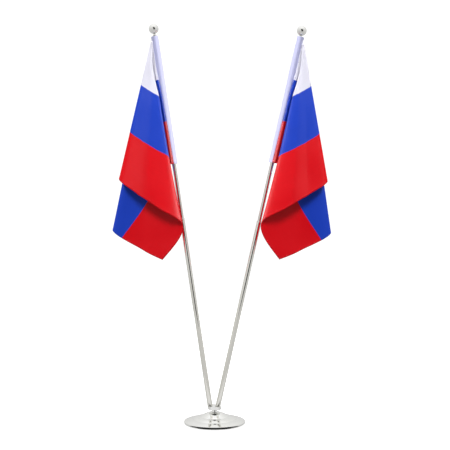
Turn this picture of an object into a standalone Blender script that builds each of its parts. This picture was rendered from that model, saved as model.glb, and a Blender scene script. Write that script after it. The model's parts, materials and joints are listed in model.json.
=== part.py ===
"""Desk flag stand: a weighted round base, a V hub, two telescopic poles and two table flags.

Metres, +Z up. The origin is the centre of the face that the stand rests on. The two poles
lie in the XZ plane and meet in a V, and the front of the stand faces -Y.

Each pole is built in a frame of its own, held by an empty at the point of the V: its local
Z runs up the pole, its local X points outwards, away from the other pole.
"""
from math import asin, atan, atan2, cos, pi, radians, sin, sqrt

import bmesh
import bpy
from mathutils import Vector

# ---- Driving dimensions ------------------------------------------------------------------

# Clearances
GAP = 0.0003                    # between pieces that touch or are screwed together
SLIDE_GAP = 0.0001              # between the round pieces of the telescope

# Base: a pressed shell, an iron weight inside it and a foam pad below
BASE_DIAMETER = 0.096
SHELL_WALL = 0.0009
RIM_ROLL_RADIUS = 0.0021
SHOULDER_HEIGHT = 0.0044        # where the dome meets the rolled rim
SHOULDER_INSET = 0.0020
OUTER_STEP_RADIUS = 0.0338
OUTER_STEP_HEIGHT = 0.0079
INNER_STEP_RADIUS = 0.0224
INNER_STEP_HEIGHT = 0.0115
STEP_DROP = 0.0006
DOME_TOP_RADIUS = 0.0086
DOME_TOP_HEIGHT = 0.0176
ZONE_CROWN = 0.0004             # how far each zone of the dome stands proud of a straight cone
PAD_THICKNESS = 0.0015
NUT_POCKET_RADIUS = 0.0080
NUT_POCKET_HEIGHT = 0.0082

# Hub, its collar and the nut that holds its stem
COLLAR_RADIUS = 0.0044
COLLAR_HEIGHT = 0.0036
HUB_RADIUS = 0.0108
HUB_EDGE_BEVEL = 0.0006
STEM_RADIUS = 0.0030
WASHER_RADIUS = 0.0062
WASHER_THICKNESS = 0.0010
NUT_ACROSS_FLATS = 0.0100
NUT_HEIGHT = 0.0040
STUD_RADIUS = 0.0020
STUD_DEPTH_IN_HUB = 0.0042
STUD_HOLE_CLEARANCE = 0.0003

# Poles: distances along a pole are measured from the point of the V
LEFT_LEAN = radians(8.5)
RIGHT_LEAN = radians(12.6)
V_POINT = Vector((-0.0022, 0.0, -0.0064))
POLE_SEAT = 0.0338              # where both poles sit on the hub
LOWER_TUBE_DIAMETER = 0.0079
LOWER_TUBE_WALL = 0.00035
LOWER_TUBE_LENGTH = 0.2950
LIP_RING_DIAMETER = 0.0086
LIP_RING_HEIGHT = 0.0015
UPPER_TUBE_DIAMETER = 0.0063
UPPER_TUBE_WALL = 0.00045
UPPER_TUBE_LENGTH = 0.3140
LEFT_PULLED_SHORT = 0.0053      # how much less than fully the left pole is pulled out
BUSH_LENGTH = 0.0180
END_PLUG_LENGTH = 0.0120
STUD_DEPTH_IN_PLUG = 0.0070
TIP_PLUG_LENGTH = 0.0100

# Finials
BALL_DIAMETER = 0.0156
FINIAL_NECK_HEIGHT = 0.0036
FINIAL_FLANGE_INSET = 0.00005    # narrower than the upper tube by this, to pass the sleeve
FINIAL_NECK_INSET = 0.0002      # narrower than its flange by this
FINIAL_FLANGE_HEIGHT = 0.0010
FINIAL_SCREW_RADIUS = 0.0015
FINIAL_SCREW_LENGTH = 0.0070

# Flags
FLAG_HOIST = 0.2000             # along the pole
FLAG_FLY = 0.2900               # away from the pole; the sleeve adds 10 mm to it
CLOTH_THICKNESS = 0.0005
CLOTH_GAP = 0.0004              # between the cloth and the sleeve it is sewn to
HEADER_LENGTH = 0.2020
HEADER_HALF_WIDTH = 0.0062
HEADER_WALL = 0.0006
HEADER_TOP_GAP = 0.0006         # the sleeve's top is this far below the tube's end
RIGHT_SLEEVE_RAISED = 0.0022    # and this much higher on the right pole
HEADER_BORE_CLEARANCE = 0.00015
CORNER_OFFSET = 0.0043          # the flag's top corner stands this far out from the pole's axis
FOLD_START = 0.0140             # the folds are modelled from this distance off the corner
FOLDS_OPEN_FROM = 0.020         # between these two distances the folds open from a flat stack
FOLDS_OPEN_AT = 0.110
FOLD_DRIFT = radians(3.0)       # how far the front fold swings inwards along the cloth
FOLD_BEND = radians(3.0)        # how much nearer the hoist that fold starts on the cloth
RIGHT_FLAG_SWING = radians(0.8)  # how much further out the right flag hangs than the left

# Folds of the hanging flag, seen from its top corner. Each row is a line on the cloth that
# starts at that corner: its angle from the hoist on the flat flag, then its direction when
# hung, outwards from the pole and backwards, and then its place in the flat stack of layers
# that the folds make next to the corner, in millimetres towards the front.
FOLD_LINES = (
    (0.0, -1.4, 0.0, 0.0),      # hoist, sewn to the sleeve
    (3.0, 1.6, 0.0, 0.0),       # past the sleeve's edge
    (15.0, 11.5, 9.0, 0.0),     # back layer
    (27.7, 21.5, -1.5, 1.9),    # outer fold
    (38.0, 11.1, -5.6, 3.9),    # front layer
    (48.4, 2.1, -6.0, 3.2),     # front fold, next to the pole
    (59.2, 10.5, -0.5, 2.5),    # second layer
    (70.3, 19.7, 1.0, 1.9),     # lower outer fold
    (80.2, 12.5, 5.2, 1.2),     # inner layer
    (90.0, 4.5, -0.2, 1.2),     # top edge
)
FRONT_FOLD_LINE = 5
LOWER_FOLD_LINE = 7
LOWER_FOLD_TUCK = radians(6.0)  # how far the lower outer fold is tucked in next to the corner
CLOTH_COLUMNS_PER_LAYER = 5
CLOTH_ROWS = 10

# Facets
ZONE_POINTS = 4
BASE_SEGMENTS = 48
HUB_SEGMENTS = 40
TUBE_SEGMENTS = 24
BALL_SEGMENTS = 24
BALL_RINGS = 12
SMALL_SEGMENTS = 20

# ---- Sizes that follow from those --------------------------------------------------------

BASE_RADIUS = BASE_DIAMETER / 2
ROLL_CENTRE_RADIUS = BASE_RADIUS - RIM_ROLL_RADIUS
ROLL_CENTRE_HEIGHT = GAP + RIM_ROLL_RADIUS
WEIGHT_RADIUS = ROLL_CENTRE_RADIUS - GAP
WEIGHT_BOTTOM = PAD_THICKNESS + GAP
STEM_HOLE_RADIUS = STEM_RADIUS + GAP

HUB_BOTTOM = DOME_TOP_HEIGHT + GAP + COLLAR_HEIGHT + GAP
LOWER_BORE_RADIUS = LOWER_TUBE_DIAMETER / 2 - LOWER_TUBE_WALL
UPPER_RADIUS = UPPER_TUBE_DIAMETER / 2
UPPER_BORE_RADIUS = UPPER_RADIUS - UPPER_TUBE_WALL
FINIAL_FLANGE_RADIUS = UPPER_RADIUS - FINIAL_FLANGE_INSET
FINIAL_NECK_RADIUS = FINIAL_FLANGE_RADIUS - FINIAL_NECK_INSET

LOWER_TUBE_BOTTOM = POLE_SEAT + GAP
LOWER_TUBE_TOP = LOWER_TUBE_BOTTOM + LOWER_TUBE_LENGTH
LIP_BOTTOM = LOWER_TUBE_TOP + GAP
LIP_TOP = LIP_BOTTOM + LIP_RING_HEIGHT
UPPER_TUBE_BOTTOM = LIP_BOTTOM - GAP - BUSH_LENGTH      # when it is pulled fully out
UPPER_TUBE_TOP = UPPER_TUBE_BOTTOM + UPPER_TUBE_LENGTH
BALL_RADIUS = BALL_DIAMETER / 2
BALL_FLAT = FINIAL_NECK_RADIUS + GAP                    # radius of the ball's flat foot
BALL_CENTRE = UPPER_TUBE_TOP + FINIAL_NECK_HEIGHT + 2 * GAP + sqrt(BALL_RADIUS**2 - BALL_FLAT**2)

HEADER_TOP = UPPER_TUBE_TOP - HEADER_TOP_GAP
HEADER_BORE_RADIUS = UPPER_RADIUS + HEADER_BORE_CLEARANCE
HEADER_HALF_DEPTH = HEADER_BORE_RADIUS + HEADER_WALL
CLOTH_FRONT = HEADER_HALF_DEPTH + CLOTH_GAP + CLOTH_THICKNESS / 2
FLAG_CORNER = HEADER_TOP - (HEADER_LENGTH - FLAG_HOIST)

# ---- Materials ---------------------------------------------------------------------------


def material(name, colour, roughness, metallic):
    """A Principled material with one colour."""
    made = bpy.data.materials.new(name)
    made.use_nodes = True
    shader = made.node_tree.nodes["Principled BSDF"]
    shader.inputs["Base Color"].default_value = (*colour, 1.0)
    shader.inputs["Roughness"].default_value = roughness
    shader.inputs["Metallic"].default_value = metallic
    return made


def all_materials():
    return {
        "chrome": material("bright_chrome", (0.86, 0.86, 0.84), 0.08, 1.0),
        "tube": material("plated_tube", (0.78, 0.77, 0.73), 0.16, 1.0),
        "iron": material("cast_iron", (0.06, 0.06, 0.065), 0.7, 1.0),
        "steel": material("zinc_plated_steel", (0.55, 0.55, 0.55), 0.35, 1.0),
        "brass": material("spring_brass", (0.72, 0.55, 0.25), 0.35, 1.0),
        "foam": material("black_foam", (0.02, 0.02, 0.02), 0.9, 0.0),
        "sleeve": material("white_satin", (0.80, 0.80, 0.88), 0.5, 0.0),
        "flag": material("striped_satin", (0.05, 0.09, 0.62), 0.45, 0.0),
    }


# ---- Mesh tools --------------------------------------------------------------------------


def add_object(name, mesh, finish, parent=None, along=0.0):
    """An object from a mesh, placed at a distance along its parent's Z."""
    thing = bpy.data.objects.new(name, mesh)
    bpy.context.scene.collection.objects.link(thing)
    if finish is not None and not mesh.materials:
        mesh.materials.append(finish)
    thing.parent = parent
    thing.location = (0.0, 0.0, along)
    return thing


def mesh_from(bm, name, sharp_angle=radians(35)):
    """Closes a bmesh into a smooth-shaded mesh with its sharp edges kept."""
    bmesh.ops.remove_doubles(bm, verts=bm.verts, dist=1e-6)
    bmesh.ops.recalc_face_normals(bm, faces=bm.faces)
    mesh = bpy.data.meshes.new(name)
    bm.to_mesh(mesh)
    bm.free()
    mesh.shade_smooth()
    mesh.set_sharp_from_angle(angle=sharp_angle)
    return mesh


def turned(name, profile, segments):
    """A solid turned about Z from a closed outline of (radius, height) points."""
    bm = bmesh.new()
    corners = [bm.verts.new((radius, 0.0, height)) for radius, height in profile]
    edges = []
    for first, second in zip(corners, corners[1:] + corners[:1]):
        on_axis = first.co.x < 1e-7 and second.co.x < 1e-7
        if not on_axis:
            edges.append(bm.edges.new((first, second)))
    bmesh.ops.spin(
        bm, geom=corners + edges, cent=(0, 0, 0), axis=(0, 0, 1), angle=2 * pi,
        steps=segments, use_merge=True, use_duplicate=False)
    return mesh_from(bm, name)


def rod_profile(radius, bottom, top):
    return [(0.0, top), (radius, top), (radius, bottom), (0.0, bottom)]


def ring_profile(bore, radius, bottom, top):
    return [(bore, top), (radius, top), (radius, bottom), (bore, bottom)]


# ---- Base --------------------------------------------------------------------------------


def crowned(start, end, points):
    """Points from start to end, both (radius, height), bulging by the zone's crown."""
    stretch = []
    for index in range(points + 1):
        share = index / points
        radius = start[0] + (end[0] - start[0]) * share
        height = start[1] + (end[1] - start[1]) * share
        stretch.append((radius, height + ZONE_CROWN * sin(pi * share)))
    return stretch


def dome_corners():
    """The dome's zones, from the collar out to the rim, each as its two ends."""
    shoulder_radius = BASE_RADIUS - SHOULDER_INSET
    return (
        ((DOME_TOP_RADIUS, DOME_TOP_HEIGHT), (INNER_STEP_RADIUS, INNER_STEP_HEIGHT)),
        ((INNER_STEP_RADIUS + GAP, INNER_STEP_HEIGHT - STEP_DROP),
         (OUTER_STEP_RADIUS, OUTER_STEP_HEIGHT)),
        ((OUTER_STEP_RADIUS + GAP, OUTER_STEP_HEIGHT - STEP_DROP),
         (shoulder_radius, SHOULDER_HEIGHT)),
    )


def rolled_rim(radius, start_angle, points):
    """The rim's roll, from the shoulder down and under, for a given bend radius."""
    arc = []
    for index in range(points + 1):
        angle = start_angle + (-pi / 2 - start_angle) * index / points
        arc.append((ROLL_CENTRE_RADIUS + radius * cos(angle),
                    ROLL_CENTRE_HEIGHT + radius * sin(angle)))
    return arc


def base_shell_mesh():
    """A thin pressed dome with two steps, its rim rolled under."""
    outside = [(STEM_HOLE_RADIUS, DOME_TOP_HEIGHT)]
    for start, end in dome_corners():
        outside += crowned(start, end, ZONE_POINTS)
    shoulder = outside[-1]
    start_angle = atan2(shoulder[1] - ROLL_CENTRE_HEIGHT, shoulder[0] - ROLL_CENTRE_RADIUS)
    outside += rolled_rim(RIM_ROLL_RADIUS, min(start_angle, pi / 2), 8)[1:]
    inside = rolled_rim(RIM_ROLL_RADIUS - SHELL_WALL, pi / 2, 6)[::-1]
    for start, end in reversed(dome_corners()):
        if end[0] < ROLL_CENTRE_RADIUS - SHELL_WALL:
            inside.append((end[0], end[1] - STEP_DROP - SHELL_WALL))
    inside.append((DOME_TOP_RADIUS, DOME_TOP_HEIGHT - SHELL_WALL))
    inside.append((STEM_HOLE_RADIUS, DOME_TOP_HEIGHT - SHELL_WALL))
    return turned("base_shell", outside + inside, BASE_SEGMENTS)


def weight_top():
    """The weight's upper outline, a gap below the shell's inside."""
    under = SHELL_WALL + STEP_DROP + GAP
    return [
        (STEM_HOLE_RADIUS, DOME_TOP_HEIGHT - under),
        (DOME_TOP_RADIUS, DOME_TOP_HEIGHT - under),
        (INNER_STEP_RADIUS, INNER_STEP_HEIGHT - under - GAP),
        (OUTER_STEP_RADIUS, OUTER_STEP_HEIGHT - under - GAP),
        (WEIGHT_RADIUS - SHELL_WALL, ROLL_CENTRE_HEIGHT + RIM_ROLL_RADIUS - SHELL_WALL - 2 * GAP),
        (WEIGHT_RADIUS - SHELL_WALL, WEIGHT_BOTTOM),
    ]


def base_weight_mesh():
    """An iron disc under the shell, with a pocket for the nut."""
    outline = weight_top() + [
        (NUT_POCKET_RADIUS, WEIGHT_BOTTOM),
        (NUT_POCKET_RADIUS, NUT_POCKET_HEIGHT),
        (STEM_HOLE_RADIUS, NUT_POCKET_HEIGHT),
    ]
    return turned("base_weight", outline, BASE_SEGMENTS)


def hexagon_nut_mesh(bottom):
    """A hexagon nut on the stem, bored clear of it."""
    bm = bmesh.new()
    corner_radius = NUT_ACROSS_FLATS / 2 / cos(pi / 6)
    loops = []
    for height in (bottom, bottom + NUT_HEIGHT):
        for radius in (corner_radius, STEM_HOLE_RADIUS):
            loop = []
            for index in range(SMALL_SEGMENTS + 4):
                angle = 2 * pi * index / (SMALL_SEGMENTS + 4)
                to_flat = (angle + pi / 6) % (pi / 3) - pi / 6
                reach = corner_radius * cos(pi / 6) / cos(to_flat)
                used = reach if radius == corner_radius else radius
                loop.append(bm.verts.new((used * cos(angle), used * sin(angle), height)))
            loops.append(loop)
    outer_low, inner_low, outer_high, inner_high = loops
    for one, other in ((outer_low, outer_high), (outer_high, inner_high),
                       (inner_high, inner_low), (inner_low, outer_low)):
        for index in range(len(one)):
            after = (index + 1) % len(one)
            bm.faces.new((one[index], one[after], other[after], other[index]))
    return mesh_from(bm, "base_nut")


def build_base(finish):
    add_object("base_shell", base_shell_mesh(), finish["chrome"])
    add_object("base_weight", base_weight_mesh(), finish["iron"])
    pad = turned("base_pad", rod_profile(WEIGHT_RADIUS, 0.0, PAD_THICKNESS), BASE_SEGMENTS)
    add_object("base_pad", pad, finish["foam"])
    washer_bottom = NUT_POCKET_HEIGHT - GAP - WASHER_THICKNESS
    washer = turned("base_washer", ring_profile(
        STEM_HOLE_RADIUS, WASHER_RADIUS, washer_bottom, washer_bottom + WASHER_THICKNESS),
        SMALL_SEGMENTS)
    add_object("base_washer", washer, finish["steel"])
    nut_bottom = washer_bottom - GAP - NUT_HEIGHT
    add_object("base_nut", hexagon_nut_mesh(nut_bottom), finish["steel"])
    return nut_bottom


# ---- Hub ---------------------------------------------------------------------------------


def pole_frame(name, lean, turn):
    """An empty at the point of the V whose local Z runs up a pole."""
    frame = bpy.data.objects.new(name, None)
    bpy.context.scene.collection.objects.link(frame)
    frame.location = V_POINT
    frame.rotation_euler = (0.0, lean, turn)
    return frame


def hub_mesh(pole_frames, stem_bottom):
    """A turned disc on a stem, its top cut square to each pole."""
    ridge = V_POINT.z + POLE_SEAT + HUB_RADIUS
    body = turned("pole_hub", [
        (0.0, ridge), (HUB_RADIUS, ridge),
        (HUB_RADIUS, HUB_BOTTOM + HUB_EDGE_BEVEL),
        (HUB_RADIUS - HUB_EDGE_BEVEL, HUB_BOTTOM),
        (STEM_RADIUS, HUB_BOTTOM), (STEM_RADIUS, stem_bottom), (0.0, stem_bottom)], HUB_SEGMENTS)
    bm = bmesh.new()
    bm.from_mesh(body)
    for frame in pole_frames:
        up = frame.matrix_world.to_3x3() @ Vector((0, 0, 1))
        seat = V_POINT + up * POLE_SEAT
        cut = bmesh.ops.bisect_plane(
            bm, geom=bm.verts[:] + bm.edges[:] + bm.faces[:], dist=1e-7, plane_co=seat,
            plane_no=up, clear_outer=True)
        rim = [piece for piece in cut["geom_cut"] if isinstance(piece, bmesh.types.BMEdge)]
        bmesh.ops.contextual_create(bm, geom=rim)
    bpy.data.meshes.remove(body)
    return mesh_from(bm, "pole_hub")


def stud_hole_cutter(name, frame):
    """A cutter for the hub's threaded hole on one pole's axis."""
    bottom = POLE_SEAT - STUD_DEPTH_IN_HUB - GAP
    profile = rod_profile(STUD_RADIUS + STUD_HOLE_CLEARANCE, bottom, POLE_SEAT + HUB_RADIUS)
    cutter = add_object(name, turned(name, profile, SMALL_SEGMENTS), None, frame)
    cutter.hide_render = True
    cutter.display_type = "WIRE"
    return cutter


def build_hub(finish, pole_frames, nut_bottom):
    collar_bottom = DOME_TOP_HEIGHT + GAP
    collar = turned("hub_collar", ring_profile(
        STEM_HOLE_RADIUS, COLLAR_RADIUS, collar_bottom, collar_bottom + COLLAR_HEIGHT),
        SMALL_SEGMENTS)
    add_object("hub_collar", collar, finish["chrome"])
    hub = add_object("pole_hub", hub_mesh(pole_frames, nut_bottom), finish["chrome"])
    for side, frame in zip(("left", "right"), pole_frames):
        cut = hub.modifiers.new(f"{side}_stud_hole", "BOOLEAN")
        cut.operation = "DIFFERENCE"
        cut.solver = "EXACT"
        cut.object = stud_hole_cutter(f"{side}_stud_hole_cutter", frame)


# ---- Poles -------------------------------------------------------------------------------


def fixed_pole_meshes():
    """The pieces of a pole that stay on the hub, by name."""
    hole_radius = STUD_RADIUS + STUD_HOLE_CLEARANCE
    stud = rod_profile(
        STUD_RADIUS, POLE_SEAT - STUD_DEPTH_IN_HUB, LOWER_TUBE_BOTTOM + STUD_DEPTH_IN_PLUG)
    plug_radius = LOWER_BORE_RADIUS - SLIDE_GAP
    plug_top = LOWER_TUBE_BOTTOM + END_PLUG_LENGTH
    hole_top = LOWER_TUBE_BOTTOM + STUD_DEPTH_IN_PLUG + GAP
    plug = [(0.0, plug_top), (plug_radius, plug_top), (plug_radius, LOWER_TUBE_BOTTOM),
            (hole_radius, LOWER_TUBE_BOTTOM), (hole_radius, hole_top), (0.0, hole_top)]
    tube = ring_profile(
        LOWER_BORE_RADIUS, LOWER_TUBE_DIAMETER / 2, LOWER_TUBE_BOTTOM, LOWER_TUBE_TOP)
    edge = LIP_RING_HEIGHT / 4
    lip_bore = UPPER_RADIUS + SLIDE_GAP
    lip_radius = LIP_RING_DIAMETER / 2
    lip = [(lip_bore, LIP_TOP), (lip_radius - edge, LIP_TOP), (lip_radius, LIP_TOP - edge),
           (lip_radius, LIP_BOTTOM + edge), (lip_radius - edge, LIP_BOTTOM), (lip_bore, LIP_BOTTOM)]
    return {
        "hub_stud": (turned("hub_stud", stud, SMALL_SEGMENTS), "steel"),
        "end_plug": (turned("end_plug", plug, SMALL_SEGMENTS), "steel"),
        "lower_tube": (turned("lower_tube", tube, TUBE_SEGMENTS), "tube"),
        "lip_ring": (turned("lip_ring", lip, TUBE_SEGMENTS), "chrome"),
    }


def ball_profile():
    """A ball with a flat foot and a threaded hole for the finial's screw."""
    hole_radius = FINIAL_SCREW_RADIUS + GAP
    foot_angle = asin(BALL_FLAT / BALL_RADIUS)
    outline = []
    for index in range(BALL_RINGS + 1):
        angle = (pi - foot_angle) * index / BALL_RINGS
        outline.append((BALL_RADIUS * sin(angle), BALL_CENTRE + BALL_RADIUS * cos(angle)))
    foot = outline[-1][1]
    outline += [(hole_radius, foot), (hole_radius, foot + FINIAL_SCREW_LENGTH + GAP),
                (0.0, foot + FINIAL_SCREW_LENGTH + GAP)]
    return outline


def finial_stem_profile():
    """A flanged neck with a screw up into the ball and one down into the tip plug."""
    bottom = UPPER_TUBE_TOP + GAP
    top = bottom + FINIAL_NECK_HEIGHT
    flange_top = bottom + FINIAL_FLANGE_HEIGHT
    return [
        (0.0, top + FINIAL_SCREW_LENGTH), (FINIAL_SCREW_RADIUS, top + FINIAL_SCREW_LENGTH),
        (FINIAL_SCREW_RADIUS, top), (FINIAL_NECK_RADIUS, top),
        (FINIAL_NECK_RADIUS, flange_top), (FINIAL_FLANGE_RADIUS, flange_top),
        (FINIAL_FLANGE_RADIUS, bottom), (FINIAL_SCREW_RADIUS, bottom),
        (FINIAL_SCREW_RADIUS, bottom - FINIAL_SCREW_LENGTH), (0.0, bottom - FINIAL_SCREW_LENGTH),
    ]


def sliding_pole_meshes():
    """The pieces that slide with the upper tube, by name, at the fully pulled-out length."""
    tube = ring_profile(UPPER_BORE_RADIUS, UPPER_RADIUS, UPPER_TUBE_BOTTOM, UPPER_TUBE_TOP)
    bush = ring_profile(
        UPPER_RADIUS + SLIDE_GAP, LOWER_BORE_RADIUS - SLIDE_GAP, UPPER_TUBE_BOTTOM,
        UPPER_TUBE_BOTTOM + BUSH_LENGTH)
    plug = ring_profile(
        FINIAL_SCREW_RADIUS + GAP, UPPER_BORE_RADIUS - SLIDE_GAP,
        UPPER_TUBE_TOP - TIP_PLUG_LENGTH, UPPER_TUBE_TOP)
    return {
        "friction_bush": (turned("friction_bush", bush, TUBE_SEGMENTS), "brass"),
        "upper_tube": (turned("upper_tube", tube, TUBE_SEGMENTS), "tube"),
        "tip_plug": (turned("tip_plug", plug, SMALL_SEGMENTS), "steel"),
        "finial_stem": (turned("finial_stem", finial_stem_profile(), SMALL_SEGMENTS), "chrome"),
        "finial_ball": (turned("finial_ball", ball_profile(), BALL_SEGMENTS), "chrome"),
    }


# ---- Flags -------------------------------------------------------------------------------


def header_mesh():
    """The sleeve: a flattened cloth tube with a round bore for the pole."""
    bm = bmesh.new()
    loops = []
    for height in (HEADER_TOP - HEADER_LENGTH, HEADER_TOP):
        for across, deep in ((HEADER_HALF_WIDTH, HEADER_HALF_DEPTH),
                             (HEADER_BORE_RADIUS, HEADER_BORE_RADIUS)):
            loop = []
            for index in range(TUBE_SEGMENTS):
                angle = 2 * pi * index / TUBE_SEGMENTS
                loop.append(bm.verts.new((across * cos(angle), deep * sin(angle), height)))
            loops.append(loop)
    outer_low, inner_low, outer_high, inner_high = loops
    for one, other in ((outer_low, outer_high), (outer_high, inner_high),
                       (inner_high, inner_low), (inner_low, outer_low)):
        for index in range(TUBE_SEGMENTS):
            after = (index + 1) % TUBE_SEGMENTS
            bm.faces.new((one[index], one[after], other[after], other[index]))
    return mesh_from(bm, "flag_header")


def smooth_between(values, position):
    """A smooth curve through values, one at each whole number of position."""
    last = len(values) - 1
    index = min(int(position), last - 1)
    share = position - index
    before = values[max(index - 1, 0)]
    start = values[index]
    end = values[index + 1]
    after = values[min(index + 2, last)]
    return 0.5 * (2 * start + (end - before) * share
                  + (2 * before - 5 * start + 4 * end - after) * share**2
                  + (3 * start - before - 3 * end + after) * share**3)


def fold_position(cloth_angle, distance):
    """The place of a cloth angle among the fold lines, as a whole number and a share."""
    lines = [radians(line[0]) for line in FOLD_LINES]
    bend = FOLD_BEND * (1 - min(distance / FLAG_FLY, 1.0)**2)
    lines[FRONT_FOLD_LINE] -= bend
    lines[FRONT_FOLD_LINE - 1] -= bend / 2
    for index, (start, end) in enumerate(zip(lines, lines[1:])):
        if cloth_angle <= end:
            return index + (cloth_angle - start) / (end - start)
    return len(FOLD_LINES) - 1.0


def cloth_point(distance, cloth_angle, forwards, swing):
    """A point of the hanging flag, a distance from its top corner, in the pole's frame."""
    open_share = (distance - FOLDS_OPEN_FROM) / (FOLDS_OPEN_AT - FOLDS_OPEN_FROM)
    open_share = min(max(open_share, 0.0), 1.0)
    open_share = open_share**2 * (3 - 2 * open_share)
    outwards = [radians(line[1]) for line in FOLD_LINES]
    outwards[FRONT_FOLD_LINE] -= FOLD_DRIFT * distance / FLAG_FLY
    outwards[LOWER_FOLD_LINE] -= LOWER_FOLD_TUCK * (1 - open_share)
    backwards = [radians(line[2]) for line in FOLD_LINES]
    stack = [line[3] / 1000 for line in FOLD_LINES]
    position = fold_position(cloth_angle, distance)
    out = smooth_between(outwards, position) + swing * position / (1 + position)
    back = smooth_between(backwards, position)
    depth = (distance * sin(back) * open_share
             - smooth_between(stack, position) * (1 - open_share) - CLOTH_FRONT)
    return Vector((CORNER_OFFSET + distance * sin(out) * cos(back),
                   -forwards * depth,
                   FLAG_CORNER - distance * cos(out) * cos(back)))


def cloth_angles():
    """Cloth angles from hoist to top edge, closer together near the folds."""
    bounds = [0.0] + [radians(FOLD_LINES[index][0]) for index in (3, 5, 7)] + [pi / 2]
    angles = [0.0]
    for start, end in zip(bounds, bounds[1:]):
        for index in range(1, 2 * CLOTH_COLUMNS_PER_LAYER + 1):
            share = (1 - cos(pi * index / (2 * CLOTH_COLUMNS_PER_LAYER))) / 2
            angles.append(start + (end - start) * share)
    corner = atan(FLAG_FLY / FLAG_HOIST)
    nearest = min(range(len(angles)), key=lambda index: abs(angles[index] - corner))
    angles[nearest] = corner
    return angles


def cloth_mesh(forwards, swing):
    """The flag as a fan of rows round its top corner, hung in folds.

    forwards is 1 or -1: the side of the pole's frame that faces the front. All but the
    hoist swings outwards by the angle swing.
    """
    bm = bmesh.new()
    rows = []
    for cloth_angle in cloth_angles():
        if cloth_angle <= atan(FLAG_FLY / FLAG_HOIST):
            reach = FLAG_HOIST / cos(cloth_angle)
        else:
            reach = FLAG_FLY / sin(cloth_angle)
        row = []
        for index in range(CLOTH_ROWS + 1):
            distance = FOLD_START + (reach - FOLD_START) * index / CLOTH_ROWS
            place = cloth_point(distance, cloth_angle, forwards, swing)
            row.append(bm.verts.new(place))
        rows.append(row)
    for one, other in zip(rows, rows[1:]):
        for index in range(CLOTH_ROWS):
            bm.faces.new((one[index], one[index + 1], other[index + 1], other[index]))
    return mesh_from(bm, "flag_cloth", pi)


def build_pole(finish, side, frame, pulled_short, sleeve_raised, swing):
    """One pole with its finial and flag. Its left and right frames mirror each other."""
    forwards = 1 if side == "left" else -1
    for name, (mesh, key) in fixed_pole_meshes().items():
        add_object(f"{side}_{name}", mesh, finish[key], frame)
    slide = bpy.data.objects.new(f"{side}_slide", None)
    bpy.context.scene.collection.objects.link(slide)
    slide.parent = frame
    slide.location = (0.0, 0.0, -pulled_short)
    for name, (mesh, key) in sliding_pole_meshes().items():
        add_object(f"{side}_{name}", mesh, finish[key], slide)
    add_object(f"{side}_flag_header", header_mesh(), finish["sleeve"], slide, sleeve_raised)
    cloth = add_object(
        f"{side}_flag_cloth", cloth_mesh(forwards, swing), finish["flag"], slide, sleeve_raised)
    wall = cloth.modifiers.new("thickness", "SOLIDIFY")
    wall.thickness = CLOTH_THICKNESS
    wall.offset = 0.0


def main():
    for thing in list(bpy.data.objects):
        bpy.data.objects.remove(thing)
    finish = all_materials()
    frames = (
        pole_frame("left_pole_axis", LEFT_LEAN, pi),
        pole_frame("right_pole_axis", RIGHT_LEAN, 0.0),
    )
    bpy.context.view_layer.update()
    nut_bottom = build_base(finish)
    build_hub(finish, frames, nut_bottom)
    build_pole(finish, "left", frames[0], LEFT_PULLED_SHORT, 0.0, 0.0)
    build_pole(finish, "right", frames[1], 0.0, RIGHT_SLEEVE_RAISED, RIGHT_FLAG_SWING)
    bpy.context.view_layer.update()


main()
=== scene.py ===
"""Looks of the desk flag stand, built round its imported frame.

Chromed base, hub, poles and finials, and two satin flags that hang in folds from sleeves.
"""

import json
from functools import partial
from math import acos, asin, atan2, copysign, cos, hypot, pi, radians, sin, sqrt

import bmesh
import bpy
import numpy as np
from mathutils import Matrix, Vector, noise


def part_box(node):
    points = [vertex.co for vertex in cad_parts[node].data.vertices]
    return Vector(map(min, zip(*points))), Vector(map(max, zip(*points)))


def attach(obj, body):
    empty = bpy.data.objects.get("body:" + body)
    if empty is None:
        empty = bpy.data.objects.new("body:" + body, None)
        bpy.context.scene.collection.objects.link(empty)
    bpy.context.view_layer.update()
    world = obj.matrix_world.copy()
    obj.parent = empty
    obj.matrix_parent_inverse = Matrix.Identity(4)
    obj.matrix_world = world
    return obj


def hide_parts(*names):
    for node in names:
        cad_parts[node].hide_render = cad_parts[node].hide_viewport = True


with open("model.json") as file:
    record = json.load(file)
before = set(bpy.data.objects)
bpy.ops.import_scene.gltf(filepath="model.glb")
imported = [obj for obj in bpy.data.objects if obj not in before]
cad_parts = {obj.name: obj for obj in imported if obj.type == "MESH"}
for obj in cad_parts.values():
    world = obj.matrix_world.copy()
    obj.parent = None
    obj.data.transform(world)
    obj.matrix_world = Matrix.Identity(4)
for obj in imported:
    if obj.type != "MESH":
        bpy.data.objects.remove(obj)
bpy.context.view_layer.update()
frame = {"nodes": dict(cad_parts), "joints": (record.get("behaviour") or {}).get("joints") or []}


def add_object(name, data):
    made = bpy.data.objects.new(name, data)
    bpy.context.scene.collection.objects.link(made)
    return made


# ---- Camera ------------------------------------------------------------------------------

VIEW_WIDTH = 0.7052             # what the camera sees across, in the plane of the poles
CAMERA_DISTANCE = 1.35
CAMERA_HEIGHT = 0.3104
CAMERA_ACROSS = 0.0163
SENSOR_WIDTH = 36.0


def make_camera():
    """A level camera in front of the stand, a little above half its height."""
    data = bpy.data.cameras.new("front_camera")
    data.sensor_width = SENSOR_WIDTH
    data.lens = SENSOR_WIDTH * CAMERA_DISTANCE / VIEW_WIDTH
    camera = add_object("front_camera", data)
    camera.location = (CAMERA_ACROSS, -CAMERA_DISTANCE, CAMERA_HEIGHT)
    camera.rotation_euler = (pi / 2, 0.0, 0.0)
    bpy.context.scene.camera = camera


# ---- Directions and sizes read from the frame --------------------------------------------


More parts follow.
